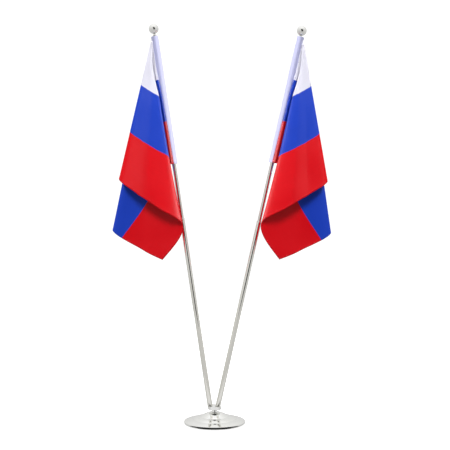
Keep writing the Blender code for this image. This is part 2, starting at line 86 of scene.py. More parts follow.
class Pole:
    """One pole's line: X points outwards, away from the other pole, and Z up the pole."""

    def __init__(self, side):
        joint = next(j for j in frame["joints"] if j["name"] == f"{side}_flag_turn")
        self.side = side
        self.up = Vector(joint["axis"]).normalized()
        self.start = Vector(joint["pos_m"])
        self.front = 1.0 if side == "left" else -1.0      # the side of local Y that faces -Y
        out = Vector((0, 1, 0)).cross(self.up) * -self.front
        across = self.up.cross(out)
        turn = Matrix((out, across, self.up)).transposed().to_4x4()
        self.matrix = Matrix.Translation(self.start) @ turn
        self.inverse = self.matrix.inverted()
        self.lean = acos(self.up.z) * -self.front

    def node(self, name):
        return frame["nodes"][f"{self.side}_{name}"]

    def places(self, name):
        """A node's vertices, outwards from the pole's line, across, and along it."""
        return [self.inverse @ vertex.co for vertex in self.node(name).data.vertices]

    def span(self, name):
        """Lowest and highest place of a node along the pole."""
        along = [place.z for place in self.places(name)]
        return min(along), max(along)

    def radius(self, name):
        """How far a node reaches from the pole's line."""
        return max(hypot(place.x, place.y) for place in self.places(name))

    def bore(self, name):
        """How near a node comes to the pole's line."""
        return min(hypot(place.x, place.y) for place in self.places(name))


# ---- Mesh tools --------------------------------------------------------------------------


def add_piece(name, mesh, finish, body, replaced=()):
    """An object at the origin from a mesh, with its finish, its body and what it stands for."""
    piece = add_object(name, mesh)
    mesh.materials.clear()
    mesh.materials.append(finish)
    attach(piece, body)
    if replaced:
        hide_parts(*replaced)
    return piece


def smooth_mesh(bm, name, sharp_angle=radians(50)):
    """A smooth-shaded mesh from a closed bmesh, its faces pointing out."""
    bmesh.ops.remove_doubles(bm, verts=bm.verts, dist=1e-7)
    bmesh.ops.recalc_face_normals(bm, faces=bm.faces)
    mesh = bpy.data.meshes.new(name)
    bm.to_mesh(mesh)
    bm.free()
    mesh.shade_smooth()
    mesh.set_sharp_from_angle(angle=sharp_angle)
    return mesh


def rounded(outline, radius, steps=4):
    """The closed outline with its corners rounded by arcs, but for those on the axis."""
    points = [Vector(point) for point in outline]
    result = []
    for index, corner in enumerate(points):
        on_axis = corner.x < 1e-6
        if on_axis:
            result.append(tuple(corner))
            continue
        to_before = points[index - 1] - corner
        to_after = points[(index + 1) % len(points)] - corner
        half = to_before.angle(to_after) / 2
        reach = min(radius / max(sin(half), 1e-6) * cos(half),
                    0.45 * to_before.length, 0.45 * to_after.length)
        start = corner + to_before.normalized() * reach
        end = corner + to_after.normalized() * reach
        for step in range(steps + 1):
            share = step / steps
            bend = (1 - share)**2 * start + 2 * share * (1 - share) * corner + share**2 * end
            result.append(tuple(bend))
    return result


def turned(name, outline, place=Matrix(), segments=96, sharp_angle=radians(50)):
    """A solid turned about Z from a closed outline of (radius, height) points."""
    bm = bmesh.new()
    corners = [bm.verts.new((radius, 0.0, height)) for radius, height in outline]
    edges = []
    for first, second in zip(corners, corners[1:] + corners[:1]):
        if first.co.x > 1e-7 or second.co.x > 1e-7:
            edges.append(bm.edges.new((first, second)))
    bmesh.ops.spin(
        bm, geom=corners + edges, cent=(0, 0, 0), axis=(0, 0, 1), angle=2 * pi,
        steps=segments, use_merge=True, use_duplicate=False)
    mesh = smooth_mesh(bm, name, sharp_angle)
    mesh.transform(place)
    return mesh


def ring_outline(bore, radius, bottom, top):
    return [(bore, top), (radius, top), (radius, bottom), (bore, bottom)]


# ---- Materials ---------------------------------------------------------------------------


def add_node(tree, kind, inputs=None, **settings):
    """A node in a tree, with its settings and the values of its inputs."""
    made = tree.nodes.new(kind)
    for key, value in settings.items():
        setattr(made, key, value)
    for key, value in (inputs or {}).items():
        made.inputs[key].default_value = value
    return made


def add_links(tree, links):
    """Links nodes; each row has a node and its output, then the next node and its input."""
    for start, leaves, end, enters in links:
        tree.links.new(start.outputs[leaves], end.inputs[enters])


def fill_ramp(node, stops):
    """Gives a colour ramp its stops, each a position and a colour, from low to high."""
    elements = node.color_ramp.elements
    for index, (position, colour) in enumerate(stops):
        element = elements[index] if index < 2 else elements.new(position)
        element.position = position
        element.color = (*colour, 1.0)


class Finish:
    """A node material that starts as one Principled shader."""

    def __init__(self, name, colour, roughness, metallic=0.0, **sockets):
        self.material = bpy.data.materials.new(name)
        self.material.use_nodes = True
        self.tree = self.material.node_tree
        self.shader = self.tree.nodes["Principled BSDF"]
        self.shader.inputs["Base Color"].default_value = (*colour, 1.0)
        self.shader.inputs["Roughness"].default_value = roughness
        self.shader.inputs["Metallic"].default_value = metallic
        for socket, value in sockets.items():
            self.shader.inputs[socket.replace("_", " ")].default_value = value

    def node(self, kind, inputs=None, **settings):
        return add_node(self.tree, kind, inputs, **settings)

    def link(self, start, end):
        self.tree.links.new(start, end)

    def coordinates(self, source="Object", scale=(1, 1, 1), rotation=(0, 0, 0), location=(0, 0, 0)):
        """Coordinates of the object or its UV map, moved, turned and scaled."""
        found = self.node("ShaderNodeTexCoord")
        mapping = self.node("ShaderNodeMapping",
                            {"Scale": scale, "Rotation": rotation, "Location": location})
        self.link(found.outputs[source], mapping.inputs["Vector"])
        return mapping.outputs["Vector"]

    def noise(self, vector, scale, detail=3.0, roughness=0.5):
        made = self.node("ShaderNodeTexNoise",
                         {"Scale": scale, "Detail": detail, "Roughness": roughness})
        self.link(vector, made.inputs["Vector"])
        return made.outputs["Fac"]

    def wave(self, vector, scale, kind, direction, distortion):
        made = self.node("ShaderNodeTexWave", {"Scale": scale, "Distortion": distortion},
                         wave_type=kind)
        setattr(made, f"{kind.lower()}_direction", direction)
        self.link(vector, made.inputs["Vector"])
        return made.outputs["Fac"]

    def spread(self, value, low, high, from_low=0.3, from_high=0.7):
        """A value mapped to between low and high."""
        made = self.node("ShaderNodeMapRange", {"From Min": from_low, "From Max": from_high,
                                                "To Min": low, "To Max": high})
        self.link(value, made.inputs["Value"])
        return made.outputs["Result"]

    def tinted(self, share, tint):
        """The base colour mixed with a tint by a share that varies over the surface."""
        base = self.shader.inputs["Base Color"].default_value
        made = self.node("ShaderNodeMix", {6: base, 7: (*tint, 1.0)}, data_type="RGBA")
        self.link(share, made.inputs["Factor"])
        return made.outputs[2]

    def bump(self, height, strength, distance, below=None):
        made = self.node("ShaderNodeBump", {"Strength": strength, "Distance": distance})
        self.link(height, made.inputs["Height"])
        if below is not None:
            self.link(below, made.inputs["Normal"])
        return made.outputs["Normal"]

    def colour_from(self, output):
        self.link(output, self.shader.inputs["Base Color"])

    def roughness_from(self, output):
        self.link(output, self.shader.inputs["Roughness"])

    def normal_from(self, output):
        self.link(output, self.shader.inputs["Normal"])


def turned_chrome(name, colour, roughness=0.05, centre=(0, 0, 0)):
    """Polished chrome over turned metal: faint rings, and the haze of fine wiping marks."""
    finish = Finish(name, colour, roughness, 1.0)
    place = finish.coordinates(location=tuple(-value for value in centre))
    haze = finish.noise(place, 60.0, 4.0)
    finish.roughness_from(finish.spread(haze, roughness * 0.6, roughness * 1.9))
    finish.colour_from(finish.tinted(finish.spread(haze, 0.0, 0.25), (0.74, 0.74, 0.71)))
    rings = finish.wave(place, 450.0, "RINGS", "Z", 0.6)
    ripple = finish.noise(place, 45.0, 1.0)
    lines = finish.bump(rings, 0.05, 0.00002)
    finish.normal_from(finish.bump(ripple, 0.05, 0.0002, lines))
    return finish.material


def drawn_tube_chrome(name, colour, pole, roughness=0.07):
    """Nickel-chrome over drawn tube: faint lines along the pole, a warm cast, light haze."""
    finish = Finish(name, colour, roughness, 1.0)
    lengthwise = finish.coordinates(rotation=(0, -pole.lean, 0), scale=(1.0, 1.0, 0.02))
    lines = finish.noise(lengthwise, 1600.0, 2.0)
    place = finish.coordinates()
    haze = finish.noise(place, 35.0, 4.0)
    finish.roughness_from(finish.spread(haze, roughness * 0.7, roughness * 1.8))
    finish.colour_from(finish.tinted(finish.spread(haze, 0.0, 0.3), (0.70, 0.68, 0.62)))
    finish.normal_from(finish.bump(lines, 0.12, 0.00002))
    return finish.material


def plain_metal(name, colour, roughness, grain_scale, bump_depth):
    """Iron, steel or brass inside the stand: grain, dull patches and a rough skin."""
    finish = Finish(name, colour, roughness, 1.0)
    place = finish.coordinates()
    grain = finish.noise(place, grain_scale, 6.0, 0.6)
    patches = finish.noise(place, grain_scale / 12, 3.0)
    finish.roughness_from(finish.spread(patches, roughness * 0.8, min(roughness * 1.3, 1.0)))
    darker = tuple(value * 0.6 for value in colour)
    finish.colour_from(finish.tinted(finish.spread(patches, 0.0, 0.7), darker))
    finish.normal_from(finish.bump(grain, 0.4, bump_depth))
    return finish.material


def foam_finish():
    """Black closed-cell foam under the base."""
    finish = Finish("black_foam", (0.018, 0.018, 0.02), 0.85)
    place = finish.coordinates()
    cells = finish.node("ShaderNodeTexVoronoi", {"Scale": 1800.0})
    finish.link(place, cells.inputs["Vector"])
    dust = finish.noise(place, 120.0, 5.0)
    finish.colour_from(finish.tinted(finish.spread(dust, 0.0, 0.4), (0.06, 0.06, 0.06)))
    finish.roughness_from(finish.spread(dust, 0.75, 0.95))
    finish.normal_from(finish.bump(cells.outputs["Distance"], 0.5, 0.0001))
    return finish.material


WHITE = (0.79, 0.78, 0.88)
BLUE = (0.011, 0.054, 0.53)
RED = (0.74, 0.001, 0.007)
THREAD_PITCH = 0.00032          # between neighbouring threads of the satin
WEAVE_DEPTH = 0.00004
PRINT_EDGE = 0.0004             # half the width of the change of colour, as a share of the hoist


def satin(finish, colour_output, size):
    """Adds satin's weave, slubs and uneven sheen to a finish whose UV map spans size."""
    threads = finish.coordinates("UV", scale=(size[0] / THREAD_PITCH, size[1] / THREAD_PITCH, 1))
    weft = finish.wave(threads, 0.32, "BANDS", "X", 0.8)
    warp = finish.wave(threads, 0.32, "BANDS", "DIAGONAL", 1.2)
    long_threads = finish.coordinates("UV", scale=(size[0] * 60, size[1] * 900, 1))
    slubs = finish.noise(long_threads, 1.0, 3.0)
    broad = finish.noise(finish.coordinates("UV", scale=(size[0] * 18, size[1] * 18, 1)), 1.0, 3.0)
    woven = finish.bump(warp, 0.25, WEAVE_DEPTH, finish.bump(weft, 0.25, WEAVE_DEPTH))
    finish.normal_from(finish.bump(slubs, 0.12, WEAVE_DEPTH, woven))
    finish.roughness_from(finish.spread(broad, 0.32, 0.44))
    darken = finish.node("ShaderNodeMix", {7: (0.72, 0.70, 0.78, 1.0)},
                         data_type="RGBA", blend_type="MULTIPLY")
    finish.link(finish.spread(slubs, 0.0, 0.16), darken.inputs["Factor"])
    finish.link(colour_output, darken.inputs[6])
    finish.colour_from(darken.outputs[2])


def flag_finish(size):
    """Printed polyester satin: three equal stripes, white, blue and red from the top."""
    finish = Finish("striped_satin", BLUE, 0.42, Sheen_Weight=0.02, Sheen_Roughness=0.3,
                    Specular_IOR_Level=0.12)
    place = finish.node("ShaderNodeTexCoord")
    split = finish.node("ShaderNodeSeparateXYZ")
    finish.link(place.outputs["UV"], split.inputs["Vector"])
    stripes = finish.node("ShaderNodeValToRGB")
    fill_ramp(stripes, (
        (0.0, RED), (1 / 3 - PRINT_EDGE, RED), (1 / 3 + PRINT_EDGE, BLUE),
        (2 / 3 - PRINT_EDGE, BLUE), (2 / 3 + PRINT_EDGE, WHITE)))
    finish.link(split.outputs["Y"], stripes.inputs["Fac"])
    satin(finish, stripes.outputs["Color"], size)
    return finish.material


def sleeve_finish(size):
    """White satin of the sleeve, coloured darker and bluer than the flag's white stripe: painted
    shade, for the shade that the sleeve hangs in next to the pole.
    """
    # The base colour is the white satin made darker and bluer: painted shade.
    finish = Finish("white_satin", (0.66, 0.67, 0.95), 0.42, Sheen_Weight=0.05, Sheen_Roughness=0.3,
                    Specular_IOR_Level=0.22)
    broad = finish.noise(finish.coordinates("UV", scale=(size[0] * 40, size[1] * 25, 1)), 1.0, 3.0)
    mottled = finish.tinted(finish.spread(broad, 0.0, 0.35), (0.62, 0.63, 0.88))
    satin(finish, mottled, size)
    return finish.material


def thread_finish(name, colour):
    """Spun polyester sewing thread."""
    finish = Finish(name, colour, 0.6, Sheen_Weight=0.2)
    twist = finish.wave(finish.coordinates(), 900.0, "BANDS", "DIAGONAL", 1.0)
    finish.normal_from(finish.bump(twist, 0.4, 0.00005))
    darker = tuple(value * 0.7 for value in colour)
    finish.colour_from(finish.tinted(finish.spread(twist, 0.0, 0.6), darker))
    return finish.material


# ---- Base and hub ------------------------------------------------------------------------

PIECE_GAP = 0.0003              # between pieces that are screwed together
SHELL_WALL = 0.0009
RIM_ROLL_RADIUS = 0.0021
RIM_FULLNESS = 0.62             # 1 for a round rim, less for a squarer one
SHOULDER_HEIGHT = 0.0044
SHOULDER_INSET = 0.0020
STEP_RADII = (0.0224, 0.0338)
STEP_HEIGHTS = (0.0115, 0.0079)
STEP_DROP = 0.0006
STEP_RUN = 0.0005
DOME_TOP_RADIUS = 0.0086
ZONE_CROWN = 0.00045
HUB_EDGE_BEVEL = 0.0006
HUB_EASED_EDGE = 0.0003


def crowned(start, end, points, crown):
    """Points from start to end, both (radius, height), bulging upwards by the crown."""
    stretch = []
    for index in range(points + 1):
        share = index / points
        radius = start[0] + (end[0] - start[0]) * share
        height = start[1] + (end[1] - start[1]) * share
        stretch.append((radius, height + crown * sin(pi * share)))
    return stretch


def base_outline():
    """The pressed shell's section: dome, two steps, rolled rim, and back underneath."""
    low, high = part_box("base_shell")
    radius = high.x
    top = high.z
    hole = min(hypot(v.co.x, v.co.y) for v in frame["nodes"]["base_shell"].data.vertices)
    roll = (radius - RIM_ROLL_RADIUS, low.z + RIM_ROLL_RADIUS)
    zones = (
        ((DOME_TOP_RADIUS, top), (STEP_RADII[0], STEP_HEIGHTS[0])),
        ((STEP_RADII[0] + STEP_RUN, STEP_HEIGHTS[0] - STEP_DROP), (STEP_RADII[1], STEP_HEIGHTS[1])),
        ((STEP_RADII[1] + STEP_RUN, STEP_HEIGHTS[1] - STEP_DROP),
         (radius - SHOULDER_INSET, SHOULDER_HEIGHT)),
    )
    outside = [(hole, top)]
    for start, end in zones:
        outside += crowned(start, end, 12, ZONE_CROWN)
    shoulder = outside[-1]
    start_angle = min(atan2(shoulder[1] - roll[1], shoulder[0] - roll[0]), pi / 2)
    arcs = []
    for bend, first in ((RIM_ROLL_RADIUS, start_angle), (RIM_ROLL_RADIUS - SHELL_WALL, pi / 2)):
        arc = []
        for index in range(25):
            angle = first + (-pi / 2 - first) * index / 24
            across = copysign(abs(cos(angle))**RIM_FULLNESS, cos(angle))
            upwards = copysign(abs(sin(angle))**RIM_FULLNESS, sin(angle))
            arc.append((roll[0] + bend * across, roll[1] + bend * upwards))
        arcs.append(arc)
    inside = arcs[1][::-1]
    inside += [(end[0], end[1] - STEP_DROP - SHELL_WALL) for _, end in reversed(zones[:2])]
    inside += [(DOME_TOP_RADIUS, top - SHELL_WALL), (hole, top - SHELL_WALL)]
    return outside + arcs[0][1:] + inside


def build_base(finish):
    shell = turned("base_dome", base_outline(), segments=160, sharp_angle=radians(24))
    add_piece("base_dome", shell, finish["base"], "stand", ["base_shell"])
    low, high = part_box("hub_collar")
    bore = min(hypot(v.co.x, v.co.y) for v in frame["nodes"]["hub_collar"].data.vertices)
    waist = (high.z - low.z) / 6
    collar = [(bore, high.z), (high.x, high.z), (high.x - waist, (low.z + high.z) / 2),
              (high.x, low.z), (bore, low.z)]
    mesh = turned("hub_neck", rounded(collar, 0.0002), segments=80)
    add_piece("hub_neck", mesh, finish["hub"], "stand", ["hub_collar"])


def build_hub(finish, poles):
    """The hub: a turned disc and stem, its top cut square to each pole, edges eased."""
    vertices = frame["nodes"]["pole_hub"].data.vertices
    low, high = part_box("pole_hub")
    collar_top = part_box("hub_collar")[1].z
    underside = min(v.co.z for v in vertices if v.co.z > collar_top)
    stem = max(hypot(v.co.x, v.co.y) for v in vertices if v.co.z < collar_top)
    bm = bmesh.new()
    body = turned("pole_head", [
        (0.0, high.z + high.x), (high.x, high.z + high.x),
        (high.x, underside + HUB_EDGE_BEVEL), (high.x - HUB_EDGE_BEVEL, underside),
        (stem, underside), (stem, low.z), (0.0, low.z)], segments=128)
    bm.from_mesh(body)
    for pole in poles:
        tube_foot = pole.span("lower_tube")[0]
        seat = pole.start + pole.up * (tube_foot - PIECE_GAP)
        cut = bmesh.ops.bisect_plane(
            bm, geom=bm.verts[:] + bm.edges[:] + bm.faces[:], dist=1e-7, plane_co=seat,
            plane_no=pole.up, clear_outer=True)
        rim = [piece for piece in cut["geom_cut"] if isinstance(piece, bmesh.types.BMEdge)]
        bmesh.ops.contextual_create(bm, geom=rim)
    bpy.data.meshes.remove(body)
    mesh = smooth_mesh(bm, "pole_head", radians(30))
    head = add_piece("pole_head", mesh, finish["hub"], "stand", ["pole_hub"])
    edges = head.modifiers.new("eased_edges", "BEVEL")
    edges.width = HUB_EASED_EDGE
    edges.segments = 3
    edges.limit_method = "ANGLE"
    edges.angle_limit = radians(30)
    edges.harden_normals = True


# ---- Poles and finials -------------------------------------------------------------------

TUBE_EASES = {"lower_tube": 0.0003, "upper_tube": 0.0002}
LIP_EASE = 0.0006
BALL_HOLE_RADIUS = 0.0018
BALL_HOLE_DEPTH = 0.0073
NECK_SCREW_RADIUS = 0.0015
NECK_FLANGE_STEP = 0.0006       # how much narrower than its flange the neck is at the ball
NECK_WAIST = 0.0005             # and narrower still at its waist


def build_tubes(finish, pole):
    """Both tubes and the rolled lip between them."""
    side = pole.side
    for name, body in (("lower_tube", "stand"), ("upper_tube", f"{side}_upper_pole")):
        bottom, top = pole.span(name)
        outline = rounded(
            ring_outline(pole.bore(name), pole.radius(name), bottom, top), TUBE_EASES[name], 3)
        mesh = turned(f"{side}_{name}_plated", outline, pole.matrix, 72)
        add_piece(f"{side}_{name}_plated", mesh, finish[f"{side}_tube"], body,
                  [f"{side}_{name}"])
    bottom, top = pole.span("lip_ring")
    outline = rounded(
        ring_outline(pole.bore("lip_ring"), pole.radius("lip_ring"), bottom, top), LIP_EASE, 6)
    mesh = turned(f"{side}_rolled_lip", outline, pole.matrix, 72)
    add_piece(f"{side}_rolled_lip", mesh, finish["finial"][side], "stand",
              [f"{side}_lip_ring"])


def build_finial(finish, pole):
    """The ball with its flat foot, and the flanged neck that it screws on to."""
    side = pole.side
    body = f"{side}_upper_pole"
    foot, top = pole.span("finial_ball")
    radius = pole.radius("finial_ball")
    centre = top - radius
    foot_angle = asin(sqrt(radius**2 - (centre - foot)**2) / radius)
    outline = []
    for index in range(49):
        angle = (pi - foot_angle) * index / 48
        outline.append((radius * sin(angle), centre + radius * cos(angle)))
    hole_end = foot + BALL_HOLE_DEPTH
    outline += [(BALL_HOLE_RADIUS, foot), (BALL_HOLE_RADIUS, hole_end), (0.0, hole_end)]
    mesh = turned(f"{side}_ball", outline, pole.matrix, 96)
    add_piece(f"{side}_ball", mesh, finish["finial"][side], body,
              [f"{side}_finial_ball"])
    bottom, high = pole.span("finial_stem")
    tube_top = pole.span("upper_tube")[1] + PIECE_GAP
    neck_top = foot - PIECE_GAP
    flange = pole.radius("finial_stem")
    neck = flange - NECK_FLANGE_STEP
    screw = NECK_SCREW_RADIUS
    outline = [
        (0.0, high), (screw, high), (screw, neck_top), (neck, neck_top),
        (neck - NECK_WAIST, (tube_top + neck_top) / 2 + 0.0004),
        (neck - 0.0002, tube_top + 0.0011), (flange, tube_top + 0.0009), (flange, tube_top),
        (screw, tube_top), (screw, bottom), (0.0, bottom)]
    mesh = turned(f"{side}_ball_neck", rounded(outline, 0.0002, 3), pole.matrix, 64)
    add_piece(f"{side}_ball_neck", mesh, finish["finial"][side], body,
              [f"{side}_finial_stem"])


# ---- Flags -------------------------------------------------------------------------------

FLAG_HOIST = 0.2000
FLAG_FLY = 0.2900               # the sleeve takes 10 mm more of the cut
CLOTH_STEP = 0.0016             # size of a cell of the cloth's mesh
CLOTH_THICKNESS = 0.00034       # at the hems, where it lies double
FIELD_SHARE = 0.55              # of that thickness, elsewhere
CLOTH_GAP = 0.0003              # between the sleeve's front and the cloth
HEM_WIDTH = 0.0045
SEAM_INSET = 0.0022             # from the cloth's edge to its row of stitches

RIPPLE_DEPTH = 0.0035           # of the slight waves across the folds
CORNER_CURL = 0.013             # how much of its reach the free corner loses by curling
CORNER_OFFSET = 0.0043          # from the pole's line to the corner where the folds meet
FOLDS_OPEN_FROM = 0.020         # how far from that corner they start to stand apart
FOLDS_OPEN_AT = 0.110           # and where they stand fully apart
FOLD_DRIFT = radians(3.0)       # how far the front fold swings inwards along the cloth
FOLD_BEND = radians(3.0)        # how much nearer the hoist that fold starts on the cloth
FOLD_FLARE = radians(5.5)       # how much further out it starts, near the corner
FOLD_FLARE_REACH = (0.030, 0.105)   # where that starts to fade, and where it is gone
HOIST_FLARE = radians(2.4)      # how much further out the hoist starts
HOIST_FLARE_REACH = (0.030, 0.095)
LOWER_FOLD_TUCK = radians(6.0)  # how much further in the lower outer fold starts
RIGHT_FLAG_SWING = radians(0.8)  # how much further out the right flag hangs than the left

SLEEVE_PATTERN_WIDTH = 0.0300   # that its weave is scaled to
SLEEVE_WALL = 0.00035
SLEEVE_EDGE = 0.0004            # half the thickness of its flat edges
SLEEVE_IN = (0.0052, 0.0058)    # its reach towards the other pole, at its top and its foot
SLEEVE_OUT = (0.0060, 0.0048)   # and outwards
SLEEVE_RINGS = 90

# Folds of the hanging flag, seen from its top corner. Each row is a line on the cloth that
# starts at that corner: its angle from the hoist on the flat flag, then its direction when
# hung, outwards from the pole and backwards, and then its place in the flat stack of layers
# next to the corner, in millimetres towards the front.
FOLD_LINES = (
    (0.0, -1.4, 0.0, 0.0),      # hoist, sewn to the sleeve
    (3.0, 1.6, 0.0, 0.0),       # past the sleeve's edge
    (15.0, 11.5, 9.0, 0.0),     # back layer
    (27.7, 21.5, -1.5, 1.9),    # outer fold
    (36.5, 12.9, -5.4, 3.9),    # front layer
    (42.0, 7.6, -6.5, 3.9),     # where it starts to roll into the fold
    (48.4, 2.1, -4.6, 3.2),     # front fold, next to the pole
    (59.2, 10.5, -0.5, 2.5),    # second layer
    (70.3, 20.2, 1.0, 1.9),     # lower outer fold
    (80.2, 12.5, 5.2, 1.2),     # inner layer
    (90.0, 4.5, -0.2, 1.2),     # top edge
)
FRONT_FOLD_LINE = 6
LOWER_FOLD_LINE = 8


def smooth_between(values, position):
    """A smooth curve through values, one at each whole number of position."""
    last = len(values) - 1
    index = min(int(position), last - 1)
    share = position - index
    before = values[max(index - 1, 0)]
    start = values[index]
    end = values[index + 1]
    after = values[min(index + 2, last)]
    return 0.5 * (2 * start + (end - before) * share
                  + (2 * before - 5 * start + 4 * end - after) * share**2
                  + (3 * start - before - 3 * end + after) * share**3)


def fold_position(cloth_angle, distance):
    """The place of a cloth angle among the fold lines, as a whole number and a share."""
    lines = [radians(line[0]) for line in FOLD_LINES]
    bend = FOLD_BEND * (1 - min(distance / FLAG_FLY, 1.0)**2)
    lines[FRONT_FOLD_LINE] -= bend
    lines[FRONT_FOLD_LINE - 1] -= bend / 2
    for index, (start, end) in enumerate(zip(lines, lines[1:])):
        if cloth_angle <= end:
            return index + (cloth_angle - start) / (end - start)
    return len(FOLD_LINES) - 1.0


def ease(value, start, end):
    """0 before start, 1 after end, and a smooth change between."""
    share = min(max((value - start) / (end - start), 0.0), 1.0)
    return share * share * (3 - 2 * share)


class Flag:
    """One hanging flag, worked out from its flat cut in its pole's frame."""

    def __init__(self, pole):
        self.pole = pole
        self.header_bottom, self.header_top = pole.span("flag_header")
        self.header_depth = max(abs(place.y) for place in pole.places("flag_header"))
        self.corner = self.header_bottom + FLAG_HOIST
        self.cloth_front = self.header_depth + CLOTH_GAP
        self.swing = RIGHT_FLAG_SWING if pole.side == "right" else 0.0

    def ripple(self, cloth_angle, distance):
        """Slight waves that fan out from the corner, and softer ones across them."""
        growth = ease(distance, 0.04, 0.22) * ease(cloth_angle, radians(4), radians(16))
        seed = 3.0 * self.pole.front
        fan = noise.noise(Vector((cloth_angle * 7.0, distance * 5.0, seed)))
        cross = noise.noise(Vector((cloth_angle * 3.0, distance * 22.0, seed + 7)))
        return growth * (RIPPLE_DEPTH * fan + 0.4 * RIPPLE_DEPTH * cross)

    def hung(self, fly, drop):
        """Where a point of the flat flag hangs: outwards, towards the front, along the pole."""
        distance = hypot(fly, drop)
        if distance < 1e-6:
            return Vector((CORNER_OFFSET, self.cloth_front, self.corner))
        open_share = ease(distance, FOLDS_OPEN_FROM, FOLDS_OPEN_AT)
        outwards = [radians(line[1]) for line in FOLD_LINES]
        hoist_flare = HOIST_FLARE * (1 - ease(distance, *HOIST_FLARE_REACH))
        fold_flare = FOLD_FLARE * (1 - ease(distance, *FOLD_FLARE_REACH))
        drift = fold_flare - FOLD_DRIFT * distance / FLAG_FLY
        outwards[0] += hoist_flare
        outwards[FRONT_FOLD_LINE] += drift
        outwards[FRONT_FOLD_LINE - 1] += drift / 2
        outwards[LOWER_FOLD_LINE] -= LOWER_FOLD_TUCK * (1 - open_share)
        backwards = [radians(line[2]) for line in FOLD_LINES]
        backwards[0] += 2 * hoist_flare
        stack = [line[3] / 1000 for line in FOLD_LINES]
        cloth_angle = atan2(fly, drop)
        position = fold_position(cloth_angle, distance)
        out = smooth_between(outwards, position)
        out += self.swing * position / (1 + position)         # the hoist stays at the sleeve
        back = smooth_between(backwards, position)
        stacked = smooth_between(stack, position) * (1 - open_share) * ease(distance, 0.0, 0.012)
        front = self.cloth_front + stacked - distance * sin(back) * open_share
        front += self.ripple(cloth_angle, distance)
        distance *= 1 - CORNER_CURL * ease(distance, FLAG_FLY, hypot(FLAG_FLY, FLAG_HOIST))
        return Vector((CORNER_OFFSET + distance * sin(out) * cos(back), front,
                       self.corner - distance * cos(out) * cos(back)))

    def placed(self, point):
        """A point given as outwards, front, along, in the stand's frame."""
        return self.pole.matrix @ Vector((point[0], self.pole.front * point[1], point[2]))

    def grid(self):
        """The hung cloth as a grid of points, its rows from the top edge to the bottom one."""
        across = round(FLAG_FLY / CLOTH_STEP)
        down = round(FLAG_HOIST / CLOTH_STEP)
        points = np.zeros((down + 1, across + 1, 3))
        for row in range(down + 1):
            for column in range(across + 1):
                points[row, column] = self.hung(
                    FLAG_FLY * column / across, FLAG_HOIST * row / down)
        return points


def build_cloth(flag, finish):
    """The flag itself: one sheet, thicker at its hems."""
    side = flag.pole.side
    points = flag.grid()
    rows, columns = points.shape[:2]
    bm = bmesh.new()
    layer = bm.loops.layers.uv.new("cut")
    vertices = [
        [bm.verts.new(flag.placed(points[r, c])) for c in range(columns)] for r in range(rows)]
    for r in range(rows - 1):
        for c in range(columns - 1):
            corners = ((r, c), (r + 1, c), (r + 1, c + 1), (r, c + 1))
            face = bm.faces.new([vertices[a][b] for a, b in corners])
            for loop, (a, b) in zip(face.loops, corners):
                loop[layer].uv = (b / (columns - 1), 1 - a / (rows - 1))
    mesh = bpy.data.meshes.new(f"{side}_flag")
    bm.to_mesh(mesh)
    bm.free()
    mesh.shade_smooth()
    cloth = add_piece(f"{side}_flag", mesh, finish, f"{side}_flag",
                      [f"{side}_flag_cloth"])
    hems = cloth.vertex_groups.new(name="hems")
    for r in range(rows):
        for c in range(columns):
            drop = FLAG_HOIST * r / (rows - 1)
            fly = FLAG_FLY * c / (columns - 1)
            inside = min(drop, FLAG_HOIST - drop, FLAG_FLY - fly)
            hems.add([r * columns + c], 1 - ease(inside, HEM_WIDTH * 0.8, HEM_WIDTH), "REPLACE")
    wall = cloth.modifiers.new("thickness", "SOLIDIFY")
    wall.thickness = CLOTH_THICKNESS
    wall.offset = 0.0
    wall.vertex_group = "hems"
    wall.thickness_vertex_group = FIELD_SHARE
    return cloth


def header_section(reach_in, reach_out, radius, tip, flat_steps=7, round_steps=20):
    """The sleeve's section: a round over the tube, drawn flat to an edge on either side."""
    section = []
    for side, reach in ((1, reach_out), (-1, reach_in)):
        tangent = acos(min(radius / reach, 0.999))
        start = Vector((side * (reach - tip), tip))
        end = Vector((side * radius * cos(tangent), radius * sin(tangent)))
        half = [(side * reach, 0.0)]
        for index in range(flat_steps):
            half.append(tuple(start.lerp(end, index / flat_steps)))
        for index in range(round_steps + 1):
            angle = tangent + (pi / 2 - tangent) * index / round_steps
            half.append((side * radius * cos(angle), radius * sin(angle)))
        section.append(half)
    out_half, in_half = section
    top = out_half + in_half[::-1][1:]
    bottom = [(x, -y) for x, y in top[::-1][1:-1]]
    return top + bottom


